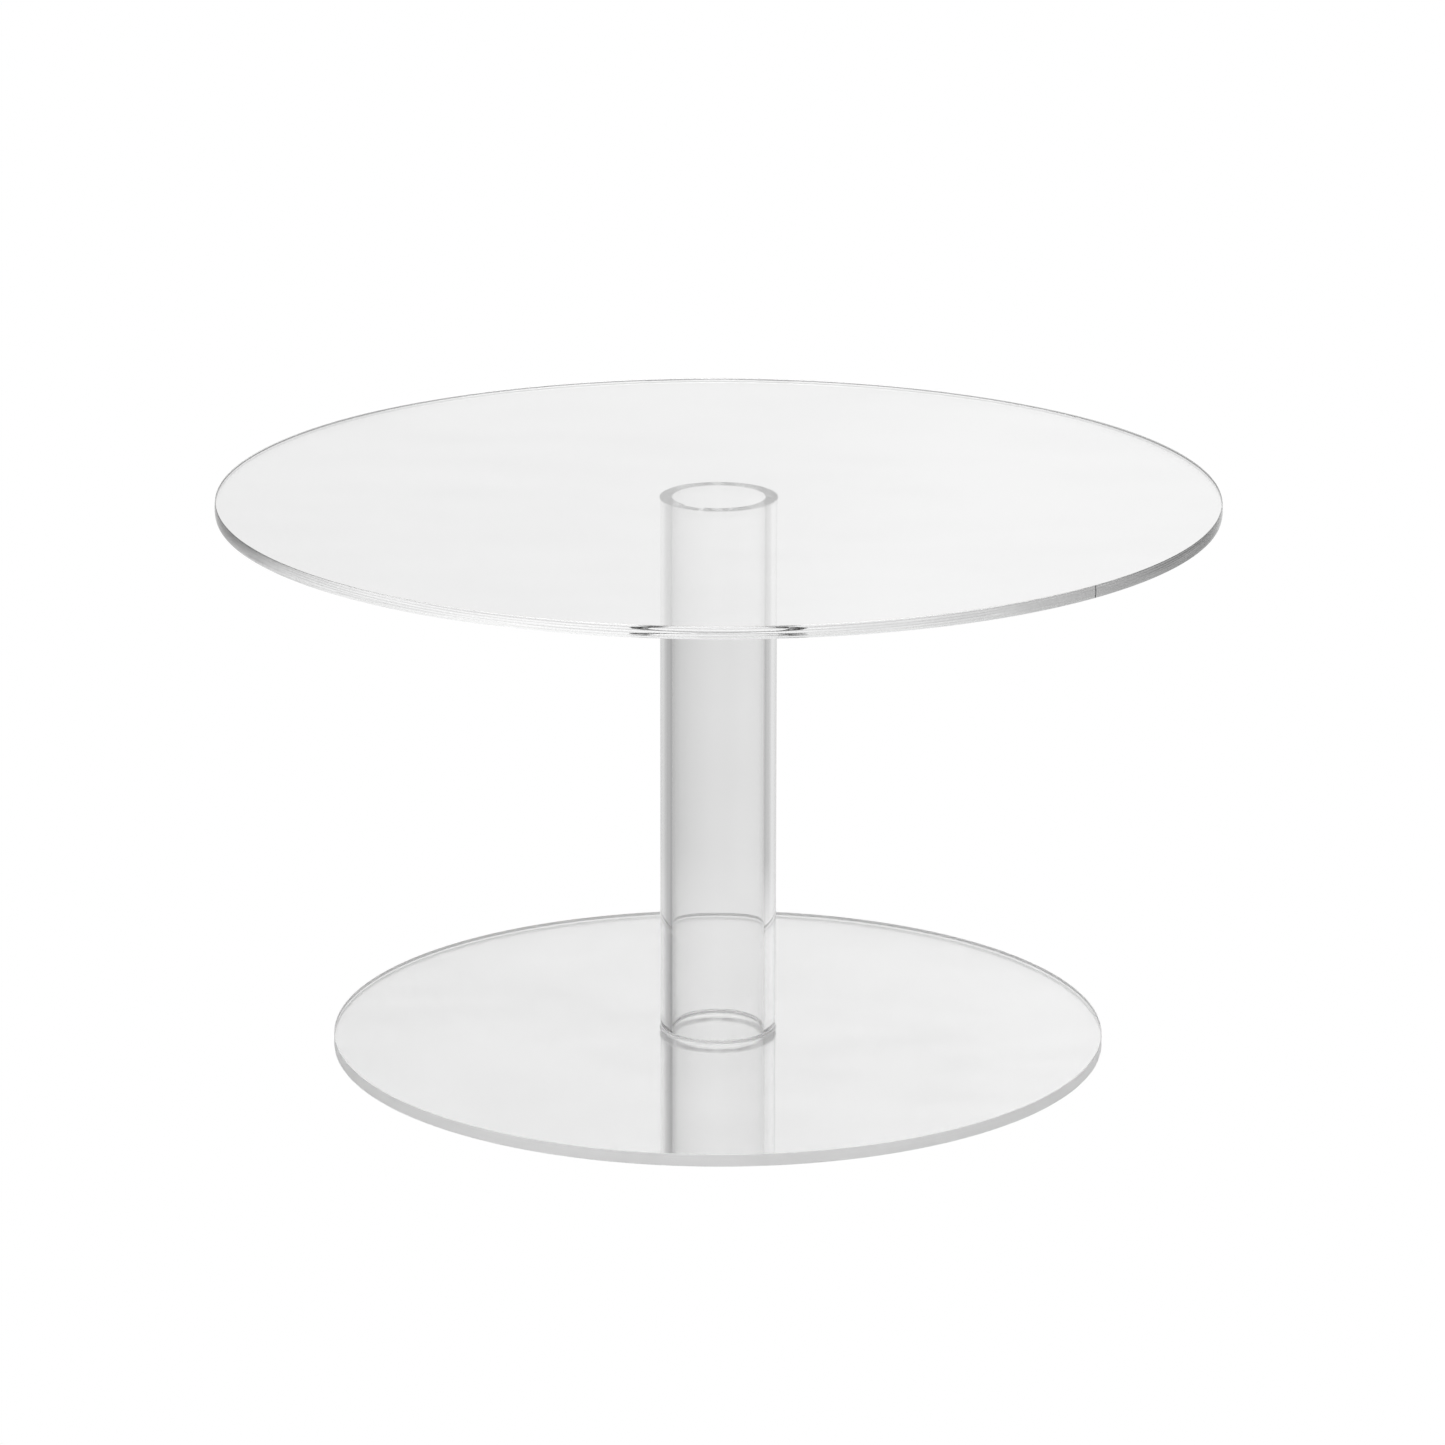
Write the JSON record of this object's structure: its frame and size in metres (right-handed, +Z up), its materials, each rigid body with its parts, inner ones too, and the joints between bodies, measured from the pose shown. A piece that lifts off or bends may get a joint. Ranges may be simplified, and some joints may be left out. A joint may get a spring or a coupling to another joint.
{
  "type": "pedestal display stand",
  "caption": "Clear acrylic pedestal stand: a wide round top disc cemented to a hollow round column on a smaller round base disc, to raise something on show.",
  "frame": {"origin": "centre of the base disc's underside, on the surface that the stand rests on", "axes": "+Z up along the column's axis; the stand is round, so +X and +Y are any two directions across it"},
  "size_m": [0.257, 0.257, 0.1464],
  "materials": {
    "clear_sheet_polished": "clear acrylic sheet, polished faces and laser-cut polished rim",
    "clear_tube": "clear extruded acrylic tube, polished",
    "clear_sheet_matt_rim": "clear acrylic sheet, polished faces and matt machined rim",
    "cement": "cured acrylic cement, slightly cloudy"
  },
  "bodies": {
    "root": {"top_disc": "clear_sheet_polished", "column_tube": "clear_tube", "base_disc": "clear_sheet_matt_rim", "upper_cement_joint": "cement", "lower_cement_joint": "cement"}
  },
  "joints": []
}
